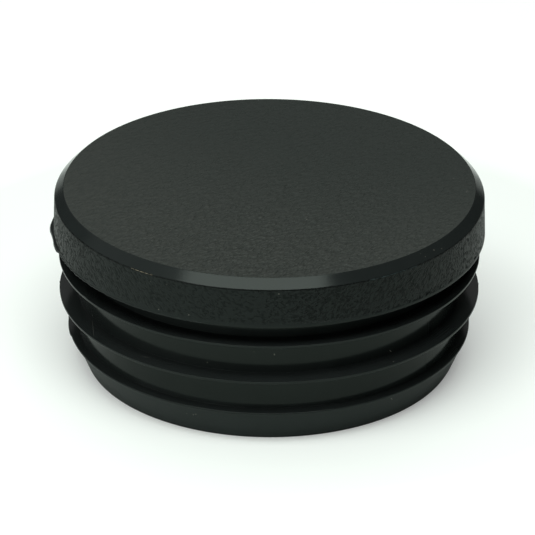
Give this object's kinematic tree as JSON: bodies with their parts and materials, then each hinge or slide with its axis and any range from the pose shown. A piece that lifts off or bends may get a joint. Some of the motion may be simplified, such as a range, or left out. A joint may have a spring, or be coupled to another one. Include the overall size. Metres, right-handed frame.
{
  "type": "tube end cap",
  "caption": "Round black plastic end cap for a tube: a flat chamfered head with a fine leather grain on a hollow plug with thin flexible fins that grip the tube's bore.",
  "frame": {"origin": "centre of the plug's open rim, on the surface that the cap stands on", "axes": "+Z along the cap's own axis, from the open rim to the flat top, which is the way out of the tube; -Y is the front; the moulding flash on the seat's edge is at -X"},
  "size_m": [0.0508, 0.0504, 0.0216],
  "materials": {
    "black_polyethylene": "moulded, fine leather grain on the head's top and side, smooth on the chamfer, fins and plug"
  },
  "bodies": {
    "root": {"end_cap": "black_polyethylene"}
  },
  "joints": []
}
